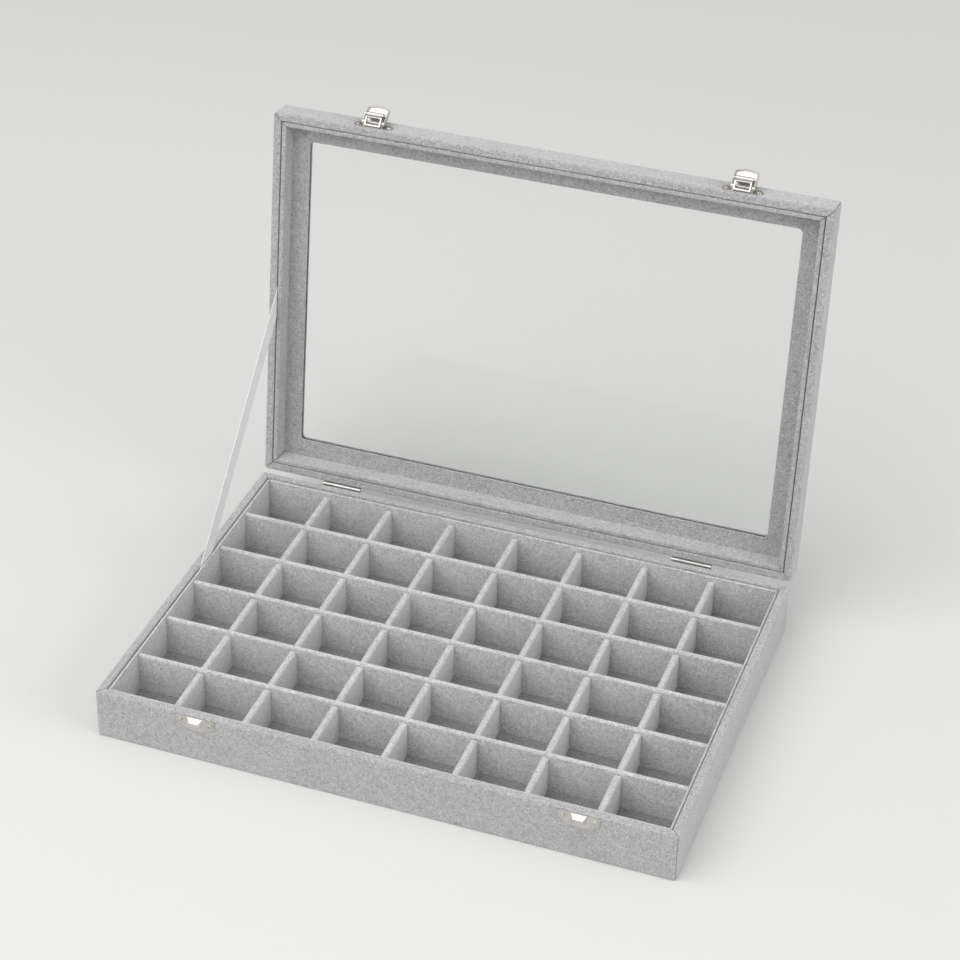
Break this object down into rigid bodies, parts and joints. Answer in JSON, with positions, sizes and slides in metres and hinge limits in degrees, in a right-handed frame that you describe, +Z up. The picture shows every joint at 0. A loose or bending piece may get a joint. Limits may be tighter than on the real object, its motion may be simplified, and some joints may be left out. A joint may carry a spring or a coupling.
{
  "type": "compartment organizer box",
  "caption": "Flat velvet covered display case with a grid of open compartments, a hinged glazed lid, a ribbon stay and hook latches at the front.",
  "frame": {"origin": "middle of the tray's underside", "axes": "+X to the right along the long side, +Y to the hinged back, +Z up; the latches face -Y and the lid stands open as pictured"},
  "size_m": [0.35, 0.2957, 0.2852],
  "materials": {
    "grey_velvet": "short pale grey velvet nap with a soft sheen",
    "base_board": "fabric covered board",
    "clear_glass": "clear flat pane",
    "hinge_steel": "plated sheet steel",
    "polished_nickel": "polished nickel plate",
    "satin_ribbon": "white satin ribbon"
  },
  "bodies": {
    "tray": {"base_board": "base_board", "tray_front_wall": "grey_velvet", "tray_back_wall": "grey_velvet", "tray_left_wall": "grey_velvet", "tray_right_wall": "grey_velvet", "tray_front_lining": "grey_velvet", "tray_back_lining": "grey_velvet", "tray_left_lining": "grey_velvet", "tray_right_lining": "grey_velvet", "tray_floor_pad": "grey_velvet", "row_divider_1": "grey_velvet", "row_divider_2": "grey_velvet", "row_divider_3": "grey_velvet", "row_divider_4": "grey_velvet", "row_divider_5": "grey_velvet", "column_divider_1": "grey_velvet", "column_divider_2": "grey_velvet", "column_divider_3": "grey_velvet", "column_divider_4": "grey_velvet", "column_divider_5": "grey_velvet", "column_divider_6": "grey_velvet", "column_divider_7": "grey_velvet", "keeper_left": "polished_nickel", "keeper_right": "polished_nickel", "keeper_screws": "polished_nickel", "hinge_left_tray_leaf": "hinge_steel", "hinge_right_tray_leaf": "hinge_steel", "hinge_left_pin": "hinge_steel", "hinge_right_pin": "hinge_steel", "hinge_tray_screws": "hinge_steel", "lid_stay_ribbon": "satin_ribbon"},
    "lid": {"lid_front_rail": "grey_velvet", "lid_back_rail": "grey_velvet", "lid_left_rail": "grey_velvet", "lid_right_rail": "grey_velvet", "lid_front_lining": "grey_velvet", "lid_back_lining": "grey_velvet", "lid_left_lining": "grey_velvet", "lid_right_lining": "grey_velvet", "lid_top_frame": "grey_velvet", "lid_inner_bezel": "grey_velvet", "lid_glass": "clear_glass", "hinge_left_lid_leaf": "hinge_steel", "hinge_right_lid_leaf": "hinge_steel", "hinge_lid_screws": "hinge_steel", "latch_left_base": "polished_nickel", "latch_right_base": "polished_nickel", "latch_left_pivot_pin": "polished_nickel", "latch_right_pivot_pin": "polished_nickel", "latch_screws": "polished_nickel"},
    "latch_left_lever": {"latch_left_lever": "polished_nickel", "latch_left_loop_pin": "polished_nickel"},
    "latch_left_loop": {"latch_left_loop": "polished_nickel"},
    "latch_right_lever": {"latch_right_lever": "polished_nickel", "latch_right_loop_pin": "polished_nickel"},
    "latch_right_loop": {"latch_right_loop": "polished_nickel"}
  },
  "joints": [
    {"name": "lid_hinge", "type": "hinge", "parent": "tray", "child": "lid", "pos_m": [0, 0.1235, 0.0324], "axis": [1, 0, 0], "range_deg": [0, 96.8], "deforming": ["lid_stay_ribbon"]},
    {"name": "latch_left_lever_pivot", "type": "hinge", "parent": "lid", "child": "latch_left_lever", "pos_m": [-0.1112, 0.15827, 0.27841], "axis": [1, 0, 0], "range_deg": [0, 130]},
    {"name": "latch_left_loop_pivot", "type": "hinge", "parent": "latch_left_lever", "child": "latch_left_loop", "pos_m": [-0.1112, 0.16206, 0.28197], "axis": [1, 0, 0], "range_deg": [-161.01, 0.01]},
    {"name": "latch_right_lever_pivot", "type": "hinge", "parent": "lid", "child": "latch_right_lever", "pos_m": [0.1187, 0.15827, 0.27841], "axis": [1, 0, 0], "range_deg": [0, 130]},
    {"name": "latch_right_loop_pivot", "type": "hinge", "parent": "latch_right_lever", "child": "latch_right_loop", "pos_m": [0.1187, 0.16206, 0.28197], "axis": [1, 0, 0], "range_deg": [-161.01, 0.01]}
  ],
  "couplings": [
    {"joint": "latch_left_loop_pivot", "follows": "latch_left_lever_pivot", "ratio": -1.2385},
    {"joint": "latch_right_loop_pivot", "follows": "latch_right_lever_pivot", "ratio": -1.2385}
  ]
}
